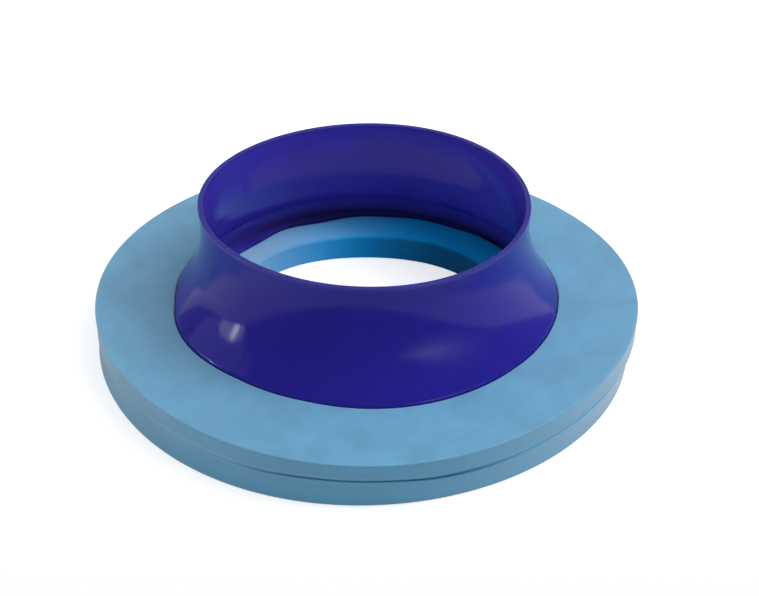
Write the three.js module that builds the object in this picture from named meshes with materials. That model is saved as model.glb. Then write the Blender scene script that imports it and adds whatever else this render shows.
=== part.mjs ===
import * as THREE from 'three';

// Toilet pan seal: a flexible guide sleeve held between two foam rings.
// All sizes are millimetres. The seal stands on its lower ring, centred on Z.

// Foam rings
const foamDiameter = 155;
const lowerThickness = 7.5;
const upperThickness = 6.5;
const lowerBore = 78;
const foamEdgeRound = 0.5;

// Guide sleeve, measured on its outside face at the neck
const neckDiameter = 90.8;
const wall = 1.5;
const standOut = 29.5;
const rimHeight = 5.5;
const rimFlare = 0.2;
const bellFlare = 9.1;
const bellDepth = 0.6;
const shoulderRadius = 2.2;

// Foot of the sleeve: a flange outwards between the rings and a lip inwards
const flangeWidth = 9;
const lipWidth = 4.6;
const creaseRadius = 3.6;

// Clearances, each measured on one side
const boreClearance = 0.5;
const recessClearance = 0.5;

// Fineness of the facets
const sidesAround = 88;
const chordError = 0.04;

const lowerTop = lowerThickness;
const foamTop = lowerTop + upperThickness;
const foamRadius = foamDiameter / 2;
const neckRadius = neckDiameter / 2;
const bellRadius = neckRadius + bellFlare;
const flangeTop = lowerTop + wall;
const flangeRadius = bellRadius + flangeWidth;
const lipRadius = bellRadius - wall - lipWidth;

const right = 0;
const up = Math.PI / 2;
const left = Math.PI;
const down = -Math.PI / 2;

// Points on a circular arc in the (radius, height) plane, both ends included.
// The number of chords keeps each one within the chord error of the arc.
function arc(centreR, centreZ, radius, from, to) {
  const widest = 2 * Math.acos(1 - Math.min(chordError / radius, 1));
  const chords = Math.max(2, Math.ceil(Math.abs(to - from) / widest));
  return Array.from({ length: chords + 1 }, (_, i) => {
    const angle = from + (to - from) * i / chords;
    return new THREE.Vector2(
      centreR + radius * Math.cos(angle),
      centreZ + radius * Math.sin(angle),
    );
  });
}

// Radius and swing of the arc that leaves the vertical and moves sideways by
// shift over a given height.
function swingOver(shift, height) {
  return {
    radius: (height ** 2 + shift ** 2) / (2 * shift),
    swing: 2 * Math.atan(shift / height),
  };
}

// Turns a closed profile, listed anticlockwise, about the Z axis.
function turned(name, profile, material) {
  const points = [...profile, profile[0].clone()];
  const geometry = new THREE.LatheGeometry(points, sidesAround);
  geometry.rotateX(Math.PI / 2);
  const mesh = new THREE.Mesh(geometry, new THREE.MeshStandardMaterial(material));
  mesh.name = name;
  return mesh;
}

// Guide wall. Above the neck one arc opens to the rim; below it one wide arc
// opens outwards and a smaller one turns it back upright at the bell. The inner
// face follows the same centres, one wall thickness further in.
function guideProfile() {
  const waistZ = foamTop + standOut - rimHeight;
  const bellZ = foamTop - bellDepth;
  const middle = neckRadius - wall / 2;

  const rim = swingOver(rimFlare, rimHeight - wall / 2);
  const rimCentre = middle + rim.radius;
  const rimEnd = left - rim.swing;
  const lipCentreR = rimCentre + rim.radius * Math.cos(rimEnd);
  const lipCentreZ = waistZ + rim.radius * Math.sin(rimEnd);

  const flare = swingOver(bellFlare, waistZ - bellZ);
  const flareRadius = flare.radius - shoulderRadius;
  const flareCentre = neckRadius + flareRadius;
  const flareEnd = left + flare.swing;
  const shoulderCentre = bellRadius - shoulderRadius;

  const outerFlare = arc(flareCentre, waistZ, flareRadius, left, flareEnd);
  const innerFlare = arc(flareCentre, waistZ, flareRadius + wall, left, flareEnd);
  const creaseZ = flangeTop + creaseRadius;
  const innerBell = bellRadius - wall;
  const edge = wall / 2;

  return [
    ...arc(flangeRadius - edge, lowerTop + edge, edge, down, up),
    new THREE.Vector2(bellRadius, flangeTop),
    ...arc(shoulderCentre, bellZ, shoulderRadius, right, flare.swing).slice(0, -1),
    ...outerFlare.reverse().slice(0, -1),
    ...arc(rimCentre, waistZ, rim.radius - wall / 2, left, rimEnd).slice(0, -1),
    ...arc(lipCentreR, lipCentreZ, wall / 2, -rim.swing, left - rim.swing),
    ...arc(rimCentre, waistZ, rim.radius + wall / 2, rimEnd, left).slice(1),
    ...innerFlare.slice(1),
    ...arc(shoulderCentre, bellZ, shoulderRadius - wall, flare.swing, right).slice(1),
    ...arc(innerBell - creaseRadius, creaseZ, creaseRadius, right, down),
    ...arc(lipRadius + edge, lowerTop + edge, edge, up, up + left),
  ];
}

// Lower ring: a plain washer with softened outer edges.
function lowerRingProfile() {
  const bore = lowerBore / 2;
  const r = foamEdgeRound;
  return [
    new THREE.Vector2(bore, 0),
    ...arc(foamRadius - r, r, r, down, right),
    ...arc(foamRadius - r, lowerTop - r, r, right, up),
    new THREE.Vector2(bore, lowerTop),
  ];
}

// Upper ring: bored to clear the bell, its underside pressed in by the flange.
function upperRingProfile() {
  const bore = bellRadius + boreClearance;
  const recess = flangeRadius + recessClearance;
  const r = foamEdgeRound;
  return [
    new THREE.Vector2(recess, lowerTop),
    ...arc(foamRadius - r, lowerTop + r, r, down, right),
    ...arc(foamRadius - r, foamTop - r, r, right, up),
    new THREE.Vector2(bore, foamTop),
    new THREE.Vector2(bore, flangeTop),
    new THREE.Vector2(recess, flangeTop),
  ];
}

const foam = { color: 0x6ea3c4, roughness: 0.9, metalness: 0 };
const plastic = { color: 0x29237a, roughness: 0.35, metalness: 0 };

const seal = new THREE.Group();
seal.name = 'toilet_pan_seal';
seal.add(turned('lower_foam_ring', lowerRingProfile(), foam));
seal.add(turned('upper_foam_ring', upperRingProfile(), foam));
seal.add(turned('guide_sleeve', guideProfile(), plastic));

export default seal;
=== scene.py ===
"""Toilet pan seal: a flared plastic sleeve held between two foam rings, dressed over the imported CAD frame."""

import math

import bpy
import numpy as np
from bpy.props import FloatProperty, FloatVectorProperty, IntProperty, PointerProperty
from mathutils import Matrix, Vector


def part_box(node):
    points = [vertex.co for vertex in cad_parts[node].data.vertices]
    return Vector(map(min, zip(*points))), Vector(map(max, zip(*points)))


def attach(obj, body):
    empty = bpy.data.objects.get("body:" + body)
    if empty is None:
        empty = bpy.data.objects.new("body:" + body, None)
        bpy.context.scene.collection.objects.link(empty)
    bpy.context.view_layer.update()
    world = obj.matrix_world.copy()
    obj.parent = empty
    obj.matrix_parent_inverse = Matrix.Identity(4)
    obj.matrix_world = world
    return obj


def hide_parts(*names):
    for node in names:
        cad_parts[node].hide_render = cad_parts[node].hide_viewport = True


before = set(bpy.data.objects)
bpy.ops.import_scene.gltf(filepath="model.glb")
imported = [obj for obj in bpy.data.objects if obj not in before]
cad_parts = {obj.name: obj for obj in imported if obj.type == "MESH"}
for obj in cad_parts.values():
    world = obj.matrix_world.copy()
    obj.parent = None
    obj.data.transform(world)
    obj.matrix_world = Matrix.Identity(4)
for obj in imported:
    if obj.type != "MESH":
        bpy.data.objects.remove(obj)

bl_info = {
    "name": "Toilet pan seal",
    "version": (1, 0, 0),
    "blender": (4, 5, 0),
    "location": "View3D > Sidebar > Pan seal",
    "description": "Makes the foam rings, the guide sleeve and the studio of a toilet pan seal",
    "category": "Object",
}

MM = 0.001
SECTION_STEP = 1.0 * MM  # between points along the straight stretches of a foam section
WALL_BLEND = 1.5 * MM  # how far in from a cut wall its look and hollow fade
RIM_BAND = 6.0 * MM  # how far in from the outer edge the seam's lift fades
SEAM_BAND = 0.46 * MM  # height and depth of the rounding beside the seam
WALL_HOLLOW = 0.12 * MM  # how far a cut wall is drawn in at mid height
TOP_SINK = 0.09 * MM  # how far the top face sinks on average
BELL_FADE = 11 * MM  # height above the foam at which the bell's swell has died out
BOX_MARGIN = 0.1 * MM  # kept between the foam's outer edge and the CAD's
WITHIN_BLEND = 1.0 * MM  # to each side of the bell, where the foam's two finishes meet
FLANGE_GAP = 0.05 * MM  # between the sleeve's flange and the upper ring above it
FLANGE_ROOM = 0.6 * MM  # between the flange's edge and the side of the recess
RIM_EDGE = 0.35 * MM  # rounding of the sleeve's rim
RIM_START = 8 * MM  # height above the foam where the rim begins to leave the round
FOOT_LOW, FOOT_HIGH = 5.5 * MM, 2.5 * MM  # depths below the foam's face between which the foot's look fades
FOAM_MATERIAL = "closed_cell_foam"
FLOOR_GLOW = 0.55  # the floor's own glow, for the camera alone
GLOSS_DIMMING = 0.55  # share of the even light that gloss does not show
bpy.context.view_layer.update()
LOWER_FLOOR, LOWER_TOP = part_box("lower_foam_ring")
UPPER_FLOOR, UPPER_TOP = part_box("upper_foam_ring")
SLEEVE_FLOOR, SLEEVE_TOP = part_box("guide_sleeve")


# Sizes and colours that a user would change

def length(name, description, default_mm):
    """A length property in metres whose default is given in millimetres."""
    return FloatProperty(
        name=name, description=description, default=default_mm * MM, unit="LENGTH", subtype="DISTANCE", min=0.0
    )


def colour(name, description, default):
    """A linear colour property."""
    return FloatVectorProperty(
        name=name, description=description, default=default, size=3, min=0.0, max=1.0, subtype="COLOR"
    )


def share(name, description, default):
    """A factor from 0 to 1."""
    return FloatProperty(name=name, description=description, default=default, min=0.0, max=1.0, subtype="FACTOR")


class FoamSettings(bpy.types.PropertyGroup):
    """Sizes and finish of the two foam rings."""

    outer_radius: length("Outer radius", "Mean radius of the upper ring's outer edge", 76.6)
    lower_outer_radius: length("Lower outer radius", "Mean radius of the lower ring's outer edge", 76.1)
    lower_bore_radius: length("Lower bore radius", "Mean radius of the hole through the lower ring", 39.2)
    upper_bore_radius: length("Upper bore radius", "Radius of the hole around the bell", 54.65)
    edge_round: length("Edge round", "Rounding of the die-cut edges", 0.45)
    skin: colour("Skin", "Colour of the foam's moulded faces", (0.122, 0.392, 0.628))
    cut: colour("Cut face", "Colour of the foam's cut faces", (0.054, 0.314, 0.542))
    # Painted light and shade: the next two colours paint the foam within the sleeve deep blue on its shaded side and
    # pale on its lit side.
    painted_shade_side: colour("Inside", "Colour of the foam inside the sleeve, which no light has faded", (0.004, 0.430, 0.985))
    painted_light_side: colour("Painted_light", "Colour of the foam inside the sleeve where light has faded it", (0.380, 0.640, 0.840))
    roughness: share("Roughness", "Roughness of the foam", 0.62)
    sheen: share("Sheen", "Pale haze of the foam at grazing angles", 0.6)
    cell: length("Cell size", "Width of one closed cell of the foam", 0.42)


class SleeveSettings(bpy.types.PropertyGroup):
    """Sizes and finish of the guide sleeve."""

    neck_radius: length("Neck radius", "Outside radius at the neck", 45.4)
    rim_flare: length("Rim flare", "How far the rim opens beyond the neck", 0.2)
    rim_height: length("Rim height", "Height of the rim above the neck", 5.5)
    bell_flare: length("Bell flare", "How far the bell opens beyond the neck", 9.1)
    bell_depth: length("Bell depth", "Drop of the bell's upright wall below the foam's face", 0.6)
    shoulder_radius: length("Shoulder radius", "Arc that turns the flare upright", 2.2)
    wall: length("Wall", "Wall thickness", 1.5)
    lip_width: length("Lip width", "Width of the inward lip", 4.6)
    flange_width: length("Flange width", "Width of the flange between the rings", 9.0)
    crease_radius: length("Crease radius", "Arc between the wall and the lip", 0.8)
    tone: colour("Tone", "Colour of the plastic outside", (0.0200, 0.0150, 0.330))
    # Painted light: the inside of the sleeve is the same plastic, painted a lighter tone as if better lit.
    lit_inner_tone: colour("Inner tone", "Colour of the plastic inside", (0.0600, 0.0450, 0.450))
    # Painted highlight: the rim's edge is painted greyer and lighter as if catching light.
    rim_highlight_tone: colour("Rim tone", "Colour of the plastic on the rim's edge", (0.0460, 0.0450, 0.275))
    roughness: share("Roughness", "Roughness of the plastic", 0.11)


class StudioSettings(bpy.types.PropertyGroup):
    """Camera, floor and light."""

    focal_length: FloatProperty(
        name="Focal length", description="Lens of the camera", default=61.9, unit="CAMERA", min=10.0
    )
    elevation: FloatProperty(
        name="Elevation",
        description="Angle of the camera above the horizon",
        default=math.radians(34.0),
        subtype="ANGLE",
    )
    roll: FloatProperty(
        name="Roll", description="Tilt of the camera about its own axis", default=math.radians(0.48), subtype="ANGLE"
    )
    distance: length("Distance", "From the aim point to the camera", 377.6)
    aim: FloatVectorProperty(
        name="Aim",
        description="Point at the middle of the picture",
        default=(3.64 * MM, 0.4 * MM, 9.81 * MM),
        size=3,
        unit="LENGTH",
        subtype="TRANSLATION",
    )
    ambient: FloatProperty(name="Ambient", description="Strength of the even light all round", default=0.44, min=0.0)


class SealSettings(bpy.types.PropertyGroup):
    """All settings of the seal."""

    foam: PointerProperty(type=FoamSettings)
    sleeve: PointerProperty(type=SleeveSettings)
    studio: PointerProperty(type=StudioSettings)
    steps_around: IntProperty(
        name="Steps around", description="Facets around each turned piece", default=480, min=32, max=720
    )


# Shapes: a section in (radius, height) carried once around Z

def smooth(x, low, high):
    """Smoothstep: 0 below low, 1 above high, 3t^2 - 2t^3 between."""
    t = np.clip((x - low) / (high - low), 0.0, 1.0)
    return t * t * (3.0 - 2.0 * t)


def waves(angle, *terms):
    """Sum of amplitude x cos(count x angle - phase) over (count, amplitude in mm, phase in degrees) terms."""
    return sum(size * MM * np.cos(count * angle - math.radians(phase)) for count, size, phase in terms)


def arc(centre_r, centre_z, radius, start, end, step=0.55 * MM):
    """Points centre + radius x (cos a, sin a), a running evenly from start to end."""
    count = max(6, math.ceil(abs(end - start) * radius / step))
    a = np.linspace(start, end, count + 1)
    return np.stack([centre_r + radius * np.cos(a), centre_z + radius * np.sin(a)], axis=1)


def rounded(corners, step):
    """A closed section from (radius, height, rounding) corners listed anticlockwise.

    Each corner p becomes the arc of its rounding that touches both sides: with unit vectors a and b towards its
    neighbours and half angle h between them, the arc starts at p + a x r / tan h, ends at p + b x r / tan h and has
    its centre at p + (a + b) / |a + b| x r / sin h. Straight stretches are divided into equal steps.
    """
    parts = []
    points = np.array([c[:2] for c in corners])
    for i, (*_, r) in enumerate(corners):
        p = points[i]
        a = points[i - 1] - p
        b = points[(i + 1) % len(points)] - p
        a, b = a / np.linalg.norm(a), b / np.linalg.norm(b)
        half = math.acos(np.clip(a @ b, -1.0, 1.0)) / 2.0
        centre = p + (a + b) / np.linalg.norm(a + b) * r / math.sin(half)
        first, last = p + a * r / math.tan(half) - centre, p + b * r / math.tan(half) - centre
        turn = math.pi - 2.0 * half
        t = np.linspace(0.0, 1.0, 7)[:, None]
        parts.append(centre + (np.sin((1.0 - t) * turn) * first + np.sin(t * turn) * last) / math.sin(turn))
    filled = []
    for part, after in zip(parts, parts[1:] + parts[:1]):
        gap = np.linalg.norm(after[0] - part[-1])
        t = np.linspace(0.0, 1.0, max(2, math.ceil(gap / step)) + 1)[1:-1, None]
        filled += [part, part[-1] + t * (after[0] - part[-1])]
    return np.concatenate(filled)


def carried_round(section, steps):
    """The section's radius and height repeated at each angle: arrays of (steps, points)."""
    angle = np.arange(steps) / steps * 2.0 * math.pi
    shape = (steps, len(section))
    return (
        np.broadcast_to(angle[:, None], shape),
        np.broadcast_to(section[:, 0], shape),
        np.broadcast_to(section[:, 1], shape),
    )


def turned_mesh(name, angle, radius, height, attributes=()):
    """A closed mesh with the point (radius cos angle, radius sin angle, height) at each place of the grid."""
    steps, points = radius.shape
    place = np.stack([radius * np.cos(angle), radius * np.sin(angle), height], axis=-1).reshape(-1, 3)
    i, j = np.meshgrid(np.arange(steps), np.arange(points), indexing="ij")
    i2, j2 = (i + 1) % steps, (j + 1) % points
    quads = np.stack([i * points + j, i2 * points + j, i2 * points + j2, i * points + j2], axis=-1).reshape(-1, 4)
    mesh = bpy.data.meshes.new(name)
    mesh.vertices.add(len(place))
    mesh.vertices.foreach_set("co", place.ravel())
    mesh.loops.add(quads.size)
    mesh.loops.foreach_set("vertex_index", quads.ravel().astype(np.int32))
    mesh.polygons.add(len(quads))
    mesh.polygons.foreach_set("loop_start", np.arange(0, quads.size, 4, dtype=np.int32))
    mesh.update(calc_edges=True)
    mesh.polygons.foreach_set("use_smooth", np.ones(len(quads), dtype=bool))
    for key, values in dict(attributes).items():
        layer = mesh.attributes.new(key, "FLOAT", "POINT")
        layer.data.foreach_set("value", np.ascontiguousarray(values, dtype=np.float32).ravel())
    mesh.validate()
    return mesh


def add_piece(name, mesh, material, node):
    """Puts a mesh in the scene as a piece that stands for a CAD node."""
    piece = bpy.data.objects.new(name, mesh)
    bpy.context.scene.collection.objects.link(piece)
    mesh.materials.append(material)
    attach(piece, "root")
    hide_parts(node)


def bell_swell(angle):
    """How far the bell, and the foam that hugs it, swells out of round in front and is drawn in at the back."""
    swell = waves(angle, (0, 0.2, 0), (1, 0.19, -76), (2, 0.23, 131), (4, 0.34, 94), (5, 0.51, -12), (6, 0.31, 133))
    front = np.maximum(swell, 0.0) * smooth(-np.sin(angle), -0.1, 0.25)
    return front - 0.9 * MM * smooth(np.sin(angle), 0.02, 0.4)


def facing(angle, degrees, low, high):
    """1 on the side that faces the given direction, 0 away from it, by the cosine of the angle between."""
    return smooth(np.cos(angle - math.radians(degrees)), low, high)


def no_wave(angle):
    """No waviness at any angle."""
    return np.zeros_like(angle)


def foam_ring(section, steps, bore, outer, bore_wave, outer_wave, lean_wave, seam, inside):
    """A foam washer: radius = section radius + bore wave x (1 - w) + outer wave x w, w rising from bore to rim.

    The lean wave is added in full at the foot and not at all at the top. Both cut walls are drawn in at mid height.
    The top face sinks a little by a slow wave in angle and radius. Where the two rings meet flush, the rounding of
    the outer edge at the seam is filled out again: in full on the left, in part on the right, not at all in front.
    There the seam is lifted a little near the rim instead.

    Also returned, for the material, each from 0 to 1: cut on the cut walls, within inside the sleeve, fresh rising
    towards the side painted as in shade, dim where painted shadow is darkest, joint along the open seam as painted
    shade.
    """
    angle, radius, height = carried_round(section, steps)
    low, high = section[:, 1].min(), section[:, 1].max()
    upright = (2.0 * height - low - high) / (high - low)
    from_seam = np.abs(height - seam)

    at_outer = smooth(radius, outer - WALL_BLEND, outer)
    at_bore = 1.0 - smooth(radius, bore, bore + WALL_BLEND)
    at_rim = smooth(radius, outer - RIM_BAND, outer)
    at_seam = (from_seam < SEAM_BAND) * (radius > outer - SEAM_BAND)
    flush = np.maximum(facing(angle, 190.0, 0.62, 0.90), 0.65 * facing(angle, -12.0, 0.50, 0.85))

    w = smooth(radius, bore, outer)
    wave = bore_wave(angle) * (1.0 - w) + (outer_wave(angle) + lean_wave(angle) * (1.0 - upright) / 2.0) * w
    hollow = WALL_HOLLOW * (1.0 - upright**2)
    warped = radius + wave - hollow * (at_outer - at_bore) + at_seam * flush * (outer - radius)
    warped = np.minimum(warped, UPPER_TOP.x - BOX_MARGIN)

    swell = np.sin(3.0 * angle + radius / (9.0 * MM)) * np.cos(2.0 * angle - 0.6)
    sunk = height - TOP_SINK * (1.0 + swell) * smooth(upright, 0.2, 1.0)
    lift = 0.45 * smooth(-np.sin(angle), 0.2, 0.9) + 0.65 * facing(angle, -93.0, 0.955, 1.0)
    sunk = sunk + lift * MM * at_rim * (1.0 - from_seam / (high - low))

    # Painted light and shade inside the sleeve: pale on the side facing 200 degrees as if lit, deep blue towards the
    # side facing 20 degrees as if in shade, and darkest there as painted shadow, most on the bore's wall.
    turn = np.cos(angle - math.radians(20.0))
    # Painted shade: the seam is painted dark where the rings do not meet flush, most in front.
    shut = np.maximum(flush, 0.9 * facing(angle, -10.0, 0.40, 0.85))
    open_seam = (1.0 - shut) * (0.35 + 0.65 * facing(angle, -85.0, 0.80, 0.98))
    layers = {
        "cut": np.maximum(at_outer, at_bore) * (np.abs(upright) < 0.93),
        "within": 1.0 - smooth(radius, inside - WITHIN_BLEND, inside + WITHIN_BLEND),
        "painted_shade_side": smooth(turn + 0.4 * at_bore, -0.8, 0.75),
        "painted_shadow": smooth(turn, -0.1, 0.95) * (0.3 + 0.55 * at_bore),
        "painted_seam_shade": at_outer * (1.0 - smooth(from_seam, 0.38 * MM, 0.85 * MM)) * open_seam,
    }
    return angle, warped, sunk, layers


# Materials

class Term:
    """One output socket that can stand in a sum; each operator adds a Math node."""

    def __init__(self, graph, socket):
        self.graph = graph
        self.socket = socket

    def math(self, operation, *values):
        return self.graph.node("ShaderNodeMath", {"operation": operation}, dict(enumerate(values)))

    def __add__(self, other):
        return self.math("ADD", self, other)

    def __sub__(self, other):
        return self.math("SUBTRACT", self, other)

    def __rsub__(self, other):
        return self.math("SUBTRACT", other, self)

    def __mul__(self, other):
        return self.math("MULTIPLY", self, other)

    __radd__ = __add__
    __rmul__ = __mul__

    def clamped(self):
        """The value kept between 0 and 1."""
        return self.math("MAXIMUM", self.math("MINIMUM", self, 1.0), 0.0)


class Graph:
    """The node tree of one material or world."""

    def __init__(self, owner):
        owner.use_nodes = True
        self.owner = owner
        self.tree = owner.node_tree
        self.tree.nodes.clear()

    def node(self, kind, settings=None, inputs=None, output=0):
        """Adds a node, sets its settings, then gives each named or numbered input a value or a link."""
        made = self.tree.nodes.new(kind)
        for key, value in (settings or {}).items():
            setattr(made, key, value)
        for key, value in (inputs or {}).items():
            if isinstance(value, Term):
                self.tree.links.new(value.socket, made.inputs[key])
            else:
                made.inputs[key].default_value = value
        return Term(self, made.outputs[output])

    def attribute(self, name):
        """The piece's own attribute of that name, from 0 to 1."""
        return self.node("ShaderNodeAttribute", {"attribute_name": name}, None, "Fac")

    def noise(self, place, size, detail=2.0, roughness=0.5):
        """Noise from 0 to 1 whose features are about size metres wide."""
        return self.node(
            "ShaderNodeTexNoise",
            {"noise_dimensions": "3D"},
            {"Vector": place, "Scale": 1.0 / size, "Detail": detail, "Roughness": roughness},
            "Fac",
        )

    def cells(self, place, size):
        """Distance to the nearest of points about size metres apart, 0 at a point."""
        return self.node(
            "ShaderNodeTexVoronoi", {"feature": "F1"}, {"Vector": place, "Scale": 1.0 / size}, "Distance"
        )

    def blend(self, factor, first, second):
        """Colour going from first to second as factor goes from 0 to 1."""
        return self.node("ShaderNodeMix", {"data_type": "RGBA"}, {0: factor, 6: first, 7: second}, 2)

    def bump(self, height, depth, strength=1.0, under=None):
        """A bump whose full height is depth metres, laid over another if one is given."""
        inputs = {"Height": height, "Distance": depth, "Strength": strength}
        if under is not None:
            inputs["Normal"] = under
        return self.node("ShaderNodeBump", None, inputs)

    def finish(self, shader, output="ShaderNodeOutputMaterial"):
        """Feeds the shader to the output node."""
        end = self.tree.nodes.new(output)
        self.tree.links.new(shader.socket, end.inputs["Surface"])
        return self.owner


def rgba(colour_value, gain=1.0):
    """A colour with its alpha, brightened by gain."""
    return (*(min(1.0, c * gain) for c in colour_value), 1.0)


def foam_material(settings):
    """Closed-cell foam: soft mottling and fine pits on the skins, open cells on the cut walls.

    Inside the sleeve and along the open seam a second, duller finish takes over, with painted light and shade: pale
    as if lit on one side, a stronger blue as if in shade on the other, darkest as painted shadow, and dark as shade
    along the seam.
    """
    g = Graph(bpy.data.materials.new(FOAM_MATERIAL))
    place = g.node("ShaderNodeTexCoord", None, None, "Object")
    cut = g.attribute("cut")
    within = g.attribute("within")
    painted_shade_side = g.attribute("painted_shade_side")
    painted_shadow = g.attribute("painted_shadow")
    painted_seam_shade = g.attribute("painted_seam_shade")
    mottle = g.noise(place, 16 * MM, 3.0, 0.55)
    cloud = g.noise(place, 5.5 * MM, 3.0, 0.6)
    pits = g.cells(place, settings.cell)
    tint = (0.5 + 1.9 * (0.55 * mottle + 0.45 * cloud - 0.5)).clamped()
    skin = g.blend(tint, rgba(settings.skin, 0.84), rgba(settings.skin, 1.20))
    sliced = g.blend(tint, rgba(settings.cut, 0.88), rgba(settings.cut, 1.14))
    # Painted shade in the pits: the colour darkens towards each cell's centre, more on the cut walls.
    pit_shade = (1.0 - pits * 1.6).clamped() * (0.10 + 0.16 * cut)
    tone = g.blend(pit_shade, g.blend(cut, skin, sliced), rgba(settings.cut, 0.45))
    # Painted light and shade inside the sleeve: deep blue on the shaded side, pale on the lit side, darkened further
    # as painted shadow.
    painted_shade_tone = g.blend(tint, rgba(settings.painted_shade_side, 0.86), rgba(settings.painted_shade_side, 1.16))
    inner = g.blend(painted_shadow, g.blend(painted_shade_side, rgba(settings.painted_light_side), painted_shade_tone), rgba(settings.painted_shade_side, 0.12))
    # Painted shade along the open seam.
    deep = g.blend(painted_seam_shade, inner, rgba(settings.painted_shade_side, 0.24))
    relief = g.bump(mottle, 0.14 * MM)
    relief = g.bump(cloud, 0.06 * MM, 1.0, relief)
    relief = g.bump(pits, 0.05 * MM, 0.5, relief)
    rough = (settings.roughness + 0.10 * (cloud - 0.5)).clamped()
    outside = g.node(
        "ShaderNodeBsdfPrincipled",
        None,
        {
            "Base Color": tone,
            "Roughness": rough,
            "Specular IOR Level": 1.0,
            "Sheen Weight": settings.sheen,
            "Sheen Roughness": 0.5,
            "Normal": relief,
        },
    )
    inside = g.node(
        "ShaderNodeBsdfPrincipled",
        None,
        {"Base Color": deep, "Roughness": rough, "Specular IOR Level": 0.1, "Normal": relief},
    )
    return g.finish(g.node("ShaderNodeMixShader", None, {0: (within + painted_seam_shade).clamped(), 1: outside, 2: inside}))


def sleeve_material(settings):
    """Semi-gloss moulded plastic that lets some light in: slow ripples and a fine skin in the gloss.

    The inside is painted a lighter tone as painted light, the rim's edge a greyer one as a painted highlight. The
    foot of the inner wall is dull, and painted dark as shade, most on the side that lies in its own shadow.
    """
    g = Graph(bpy.data.materials.new("sleeve_plastic"))
    place = g.node("ShaderNodeTexCoord", None, None, "Object")
    ripple = g.noise(place, 14 * MM, 2.0, 0.45)
    flow = g.noise(place, 5 * MM, 2.0, 0.5)
    grain = g.noise(place, 0.35 * MM, 2.0, 0.5)
    foot = g.attribute("foot")
    shade = g.attribute("shade")
    inner = g.attribute("inner")
    edge = g.attribute("edge")
    outside = g.blend(ripple, rgba(settings.tone, 0.92), rgba(settings.tone, 1.10))
    # Painted light: a lighter copy of the plastic inside the sleeve.
    inside = g.blend(ripple, rgba(settings.lit_inner_tone, 0.92), rgba(settings.lit_inner_tone, 1.10))
    # Painted shade at the foot of the inner wall, darkest on the side facing 50 degrees.
    crease = g.blend(shade, rgba(settings.lit_inner_tone, 0.95), rgba(settings.lit_inner_tone, 0.26))
    tone = g.blend(foot, g.blend(inner, outside, inside), crease)
    # Painted highlight on the rim's edge.
    tone = g.blend(edge, tone, rgba(settings.rim_highlight_tone))
    relief = g.bump(ripple, 0.16 * MM)
    relief = g.bump(flow, 0.012 * MM, 1.0, relief)
    relief = g.bump(grain, 0.004 * MM, 1.0, relief)
    shader = g.node(
        "ShaderNodeBsdfPrincipled",
        None,
        {
            "Base Color": tone,
            "Roughness": (settings.roughness + 0.08 * (flow - 0.5) + 0.7 * foot).clamped(),
            "Specular IOR Level": 0.26,
            "Subsurface Weight": 1.0,
            "Subsurface Radius": (0.6, 0.6, 1.0),
            "Subsurface Scale": 3.0 * MM,
            "Normal": relief,
        },
    )
    return g.finish(shader)


def floor_material():
    """White floor: plain diffuse, with a glow of its own that only the camera sees, so that it meets the white
    background and still shows the seal's soft shadow."""
    g = Graph(bpy.data.materials.new("floor"))
    seen = g.node("ShaderNodeLightPath", None, None, "Is Camera Ray")
    diffuse = g.node("ShaderNodeBsdfDiffuse", None, {"Color": (0.8, 0.8, 0.8, 1.0)})
    glow = g.node("ShaderNodeEmission", None, {"Color": (1.0, 1.0, 1.0, 1.0), "Strength": seen * FLOOR_GLOW})
    shader = g.node("ShaderNodeAddShader", None, {0: diffuse, 1: glow})
    return g.finish(shader)


def studio_world(ambient):
    """Even light all round, less of it in gloss; white where the camera looks past the floor."""
    g = Graph(bpy.data.worlds.new("studio"))
    seen = g.node("ShaderNodeLightPath", None, None, "Is Camera Ray")
    glossy = g.node("ShaderNodeLightPath", None, None, "Is Glossy Ray")
    strength = seen * (1.0 - ambient) + (1.0 - GLOSS_DIMMING * glossy) * ambient
    light = g.node("ShaderNodeBackground", None, {"Color": (1.0, 1.0, 1.0, 1.0), "Strength": strength})
    g.finish(light, "ShaderNodeOutputWorld")
    return g.owner


# Operators

class PANSEAL_OT_lower_ring(bpy.types.Operator):
    """Make the lower foam ring"""

    bl_idname = "panseal.lower_ring"
    bl_label = "Lower foam ring"

    def execute(self, context):
        seal = context.scene.pan_seal
        foam = seal.foam
        bottom, top = LOWER_FLOOR.z, LOWER_TOP.z
        r = foam.edge_round
        section = rounded(
            [
                (foam.lower_bore_radius, bottom, r),
                (foam.lower_outer_radius, bottom, r),
                (foam.lower_outer_radius, top, r),
                (foam.lower_bore_radius, top, r),
            ],
            SECTION_STEP,
        )

        def bore_wave(angle):
            return waves(angle, (2, 1.0, 0), (4, 0.6, 180))

        def outer_wave(angle):
            return waves(angle, (3, 0.3, 85))

        def lean_wave(angle):
            return waves(angle, (0, 0.3, 0), (1, 1.2, 169), (2, 0.19, -49), (4, 0.22, -95))

        angle, radius, height, layers = foam_ring(
            section,
            seal.steps_around,
            foam.lower_bore_radius,
            foam.lower_outer_radius,
            bore_wave,
            outer_wave,
            lean_wave,
            top,
            seal.sleeve.neck_radius + seal.sleeve.bell_flare,
        )
        mesh = turned_mesh("lower_foam_ring_skin", angle, radius, height, layers)
        add_piece("lower_foam_ring_skin", mesh, shared_foam(foam), "lower_foam_ring")
        return {"FINISHED"}


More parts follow.
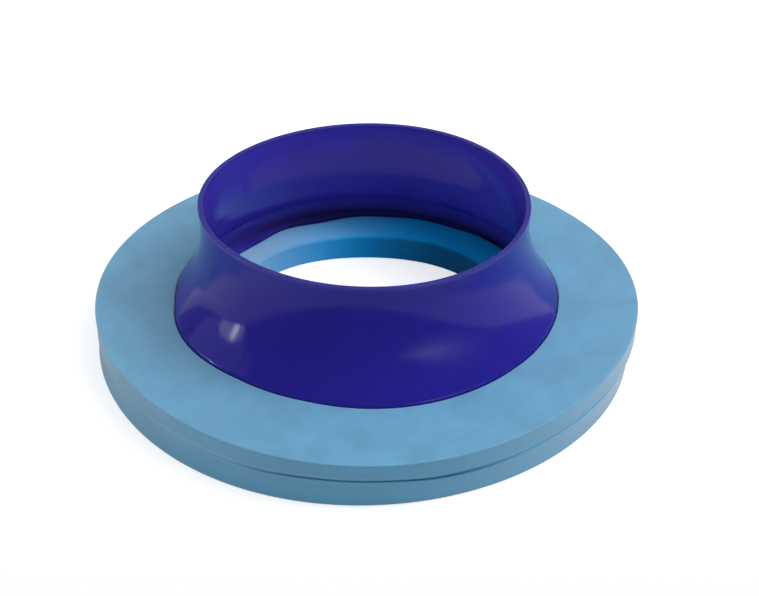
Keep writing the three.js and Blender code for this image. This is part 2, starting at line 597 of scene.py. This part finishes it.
class PANSEAL_OT_upper_ring(bpy.types.Operator):
    """Make the upper foam ring, pressed in underneath by the sleeve's flange"""

    bl_idname = "panseal.upper_ring"
    bl_label = "Upper foam ring"

    def execute(self, context):
        seal = context.scene.pan_seal
        foam = seal.foam
        sleeve = seal.sleeve
        bottom, top = UPPER_FLOOR.z, UPPER_TOP.z
        recess_top = bottom + sleeve.wall + FLANGE_GAP
        bell = sleeve.neck_radius + sleeve.bell_flare
        recess = bell + sleeve.flange_width + FLANGE_ROOM
        r = foam.edge_round
        section = rounded(
            [
                (recess, bottom, r),
                (foam.outer_radius, bottom, r),
                (foam.outer_radius, top, r),
                (foam.upper_bore_radius, top, r),
                (foam.upper_bore_radius, recess_top, r),
                (recess, recess_top, r),
            ],
            SECTION_STEP,
        )

        def outer_wave(angle):
            return waves(angle, (1, 0.25, -173), (2, 0.29, -30), (3, 0.56, 64), (4, 0.47, 7), (5, 0.1, 34))

        angle, radius, height, layers = foam_ring(
            section,
            seal.steps_around,
            foam.upper_bore_radius,
            foam.outer_radius,
            bell_swell,
            outer_wave,
            no_wave,
            bottom,
            0.0,
        )
        mesh = turned_mesh("upper_foam_ring_skin", angle, radius, height, layers)
        add_piece("upper_foam_ring_skin", mesh, shared_foam(foam), "upper_foam_ring")
        return {"FINISHED"}


def shared_foam(foam):
    """The foam's material, made once and used by both rings."""
    return bpy.data.materials.get(FOAM_MATERIAL) or foam_material(foam)


def sleeve_section(s):
    """The sleeve's wall as one closed section, anticlockwise from the flange's lower edge.

    An arc of radius (h^2 + d^2) / 2d leaves the upright neck and moves d sideways over a height h, turning by
    2 atan(d / h). One such arc opens the rim. Below the neck the same turn is shared by a wide hollow arc and the
    shoulder's arc, which brings the wall upright again. The inner face has the same centres, one wall further in.
    """
    floor, rim_top, foam_top = SLEEVE_FLOOR.z, SLEEVE_TOP.z, UPPER_TOP.z
    waist = rim_top - s.rim_height
    bell = foam_top - s.bell_depth

    rim_reach = s.rim_height - RIM_EDGE
    rim_turn = 2.0 * math.atan(s.rim_flare / rim_reach)
    rim_radius = (rim_reach**2 + s.rim_flare**2) / (2.0 * s.rim_flare)
    rim_centre = s.neck_radius + rim_radius

    turn = 2.0 * math.atan(s.bell_flare / (waist - bell))
    flare_radius = ((waist - bell) ** 2 + s.bell_flare**2) / (2.0 * s.bell_flare) - s.shoulder_radius
    flare_centre = s.neck_radius + flare_radius
    bell_radius = s.neck_radius + s.bell_flare
    shoulder_centre = bell_radius - s.shoulder_radius
    inner_bell = bell_radius - s.wall
    lip_radius = inner_bell - s.lip_width
    flange_radius = bell_radius + s.flange_width
    flange_top = floor + s.wall
    half = s.wall / 2.0

    left = math.pi
    lip_outer = rim_centre - rim_radius * math.cos(rim_turn)
    lip_middle = lip_outer - RIM_EDGE
    lip_inner = lip_outer - s.wall + RIM_EDGE
    flange_flat = np.linspace((flange_radius - half, flange_top), (bell_radius, flange_top), 12)
    foot_flat = np.linspace((lip_radius + half, floor), (flange_radius - half, floor), 16)[1:-1]
    lip_flat = np.linspace((inner_bell - s.crease_radius, flange_top), (lip_radius + half, flange_top), 6)
    return np.concatenate(
        [
            arc(flange_radius - half, floor + half, half, -left / 2.0, left / 2.0),
            flange_flat[1:],
            arc(shoulder_centre, bell, s.shoulder_radius, 0.0, turn),
            arc(flare_centre, waist, flare_radius, left + turn, left)[1:],
            arc(rim_centre, waist, rim_radius, left, left - rim_turn)[1:-1],
            arc(lip_middle, rim_top - RIM_EDGE, RIM_EDGE, -rim_turn, left / 2.0),
            arc(lip_inner, rim_top - RIM_EDGE, RIM_EDGE, left / 2.0, left - rim_turn),
            arc(rim_centre, waist, rim_radius + s.wall, left - rim_turn, left)[1:],
            arc(flare_centre, waist, flare_radius + s.wall, left, left + turn)[1:],
            arc(shoulder_centre, bell, s.shoulder_radius - s.wall, turn, 0.0)[1:],
            arc(inner_bell - s.crease_radius, flange_top + s.crease_radius, s.crease_radius, 0.0, -left / 2.0),
            lip_flat[1:-1],
            arc(lip_radius + half, floor + half, half, left / 2.0, 1.5 * left),
            foot_flat,
        ]
    )


def sleeve_wall(section, steps, s):
    """The sleeve carried round and pushed a little out of round: radius = section radius + four waves by height.

    The lean wave grows from the foam's face to the neck and the rim wave from above the bell to the rim. The lip
    wave grows along the lip towards its tip. The bell's swell is full at the foam's face and below, except on the
    lip, and has died out at BELL_FADE above the face.

    Also returned, for the material, each from 0 to 1: foot on the inner wall near the crease, where painted shade
    goes, shade on the side whose foot is painted darkest as its own shadow, inner inside the sleeve, edge on the
    painted rim highlight.
    """
    angle, radius, height = carried_round(section, steps)
    foam_top, rim_top = UPPER_TOP.z, SLEEVE_TOP.z
    inner_bell = s.neck_radius + s.bell_flare - s.wall

    lean = smooth(height, foam_top, rim_top - s.rim_height)
    rim = smooth(height, foam_top + RIM_START, rim_top)
    low = height < SLEEVE_FLOOR.z + s.wall + s.crease_radius
    lip = low * np.clip((inner_bell - radius) / s.lip_width, 0.0, 1.0)
    bell = (1.0 - lip) * (1.0 - smooth(height, foam_top, foam_top + BELL_FADE))

    warped = radius + lean * waves(angle, (0, 0.1, 0), (1, 0.25, 180)) + rim * waves(angle, (3, 0.45, 173))
    warped = warped + lip * waves(angle, (0, 1.1, 0), (1, 3.1, 17), (9, 0.35, 35), (14, 0.4, 260))
    warped = warped + bell * bell_swell(angle)

    on_inner_wall = radius < inner_bell + 0.1 * MM
    past_rim = np.arange(len(section)) > section[:, 1].argmax()
    layers = {
        "foot": on_inner_wall * (1.0 - smooth(height, foam_top - FOOT_LOW, foam_top - FOOT_HIGH)),
        "shade": facing(angle, 50.0, -0.5, 0.6),
        "inner": np.broadcast_to(past_rim, radius.shape),
        "edge": smooth(height, rim_top - 1.2 * MM, rim_top - 0.4 * MM),
    }
    return angle, warped, height, layers


class PANSEAL_OT_sleeve(bpy.types.Operator):
    """Make the guide sleeve"""

    bl_idname = "panseal.sleeve"
    bl_label = "Guide sleeve"

    def execute(self, context):
        seal = context.scene.pan_seal
        s = seal.sleeve
        angle, radius, height, layers = sleeve_wall(sleeve_section(s), seal.steps_around, s)
        mesh = turned_mesh("guide_sleeve_skin", angle, radius, height, layers)
        add_piece("guide_sleeve_skin", mesh, sleeve_material(s), "guide_sleeve")
        return {"FINISHED"}


LAMPS = (
    # name, azimuth, elevation, distance, width, height, radiance, seen in gloss
    ("top", 0.0, 90.0, 0.90, 0.90, 0.90, 0.6, False),
    ("top_right", 90.0, 60.0, 0.90, 0.60, 0.60, 2.5, False),
    ("key", 90.0, 50.0, 0.90, 0.30, 0.30, 6.0, False),
    ("left", -90.0, 20.0, 0.90, 0.65, 0.60, 0.4, True),
    ("glow_edge", 46.0, 10.0, 0.90, 0.95, 0.60, 0.16, True),
    ("glow", 44.0, 10.0, 0.90, 0.75, 0.46, 0.22, True),
    ("glow_middle", 42.0, 10.0, 0.90, 0.55, 0.34, 0.32, True),
    ("glow_core", 39.0, 10.0, 0.90, 0.36, 0.24, 0.45, True),
    ("glow_heart", 38.0, 10.0, 0.90, 0.20, 0.14, 0.45, True),
    ("halo", -84.0, 4.0, 0.90, 0.30, 0.32, 1.6, True),
    ("spot", -81.0, 4.0, 0.90, 0.06, 0.24, 8.5, True),
)


def direction(azimuth, elevation):
    """Unit vector towards a compass place: azimuth 0 is the camera's side, 90 is +X, elevation above the floor."""
    a, e = math.radians(azimuth), math.radians(elevation)
    return Vector((math.sin(a) * math.cos(e), -math.cos(a) * math.cos(e), math.sin(e)))


class PANSEAL_OT_studio(bpy.types.Operator):
    """Make the floor, the lamps, the world and the camera"""

    bl_idname = "panseal.studio"
    bl_label = "Studio"

    def execute(self, context):
        scene = context.scene
        studio = scene.pan_seal.studio
        scene.view_settings.view_transform = "Standard"
        scene.world = studio_world(studio.ambient)

        half, front = 1.5, -0.1  # the floor ends close before the seal, where the plain background takes over
        mesh = bpy.data.meshes.new("floor")
        mesh.from_pydata([(-half, front, 0), (half, front, 0), (half, half, 0), (-half, half, 0)], [], [(0, 1, 2, 3)])
        mesh.materials.append(floor_material())
        floor = bpy.data.objects.new("floor", mesh)
        scene.collection.objects.link(floor)

        for name, azimuth, elevation, distance, width, tall, radiance, glossy in LAMPS:
            data = bpy.data.lights.new(name, "AREA")
            data.shape = "ELLIPSE"
            data.size, data.size_y = width, tall
            data.energy = radiance * math.pi * math.pi / 4.0 * width * tall  # radiance x pi x the ellipse's area
            lamp = bpy.data.objects.new(name, data)
            towards = direction(azimuth, elevation)
            lamp.location = towards * distance
            lamp.rotation_euler = towards.to_track_quat("Z", "Y").to_euler()
            lamp.visible_camera = False
            lamp.visible_glossy = glossy
            scene.collection.objects.link(lamp)

        data = bpy.data.cameras.new("camera")
        data.lens = studio.focal_length
        data.sensor_width = 36.0
        data.sensor_fit = "HORIZONTAL"
        data.clip_start, data.clip_end = 0.01, 10.0
        camera = bpy.data.objects.new("camera", data)
        back = direction(0.0, math.degrees(studio.elevation))
        camera.rotation_euler = (
            back.to_track_quat("Z", "Y").to_matrix().to_4x4() @ Matrix.Rotation(studio.roll, 4, "Z")
        ).to_euler()
        camera.location = Vector(studio.aim) + back * studio.distance
        scene.collection.objects.link(camera)
        scene.camera = camera
        return {"FINISHED"}


class PANSEAL_PT_sidebar(bpy.types.Panel):
    """Lists the pieces and their settings"""

    bl_idname = "PANSEAL_PT_sidebar"
    bl_label = "Toilet pan seal"
    bl_space_type = "VIEW_3D"
    bl_region_type = "UI"
    bl_category = "Pan seal"

    def draw(self, context):
        seal = context.scene.pan_seal
        self.layout.prop(seal, "steps_around")
        for group, operators in (
            (seal.foam, (PANSEAL_OT_lower_ring, PANSEAL_OT_upper_ring)),
            (seal.sleeve, (PANSEAL_OT_sleeve,)),
            (seal.studio, (PANSEAL_OT_studio,)),
        ):
            box = self.layout.box()
            for key in group.__annotations__:
                box.prop(group, key)
            for operator in operators:
                box.operator(operator.bl_idname)


CLASSES = (
    FoamSettings,
    SleeveSettings,
    StudioSettings,
    SealSettings,
    PANSEAL_OT_lower_ring,
    PANSEAL_OT_upper_ring,
    PANSEAL_OT_sleeve,
    PANSEAL_OT_studio,
    PANSEAL_PT_sidebar,
)


def register():
    for cls in CLASSES:
        bpy.utils.register_class(cls)
    bpy.types.Scene.pan_seal = PointerProperty(type=SealSettings)


def unregister():
    del bpy.types.Scene.pan_seal
    for cls in reversed(CLASSES):
        bpy.utils.unregister_class(cls)


def main():
    register()
    bpy.ops.panseal.studio()
    bpy.ops.panseal.lower_ring()
    bpy.ops.panseal.upper_ring()
    bpy.ops.panseal.sleeve()


if __name__ == "__main__":
    main()
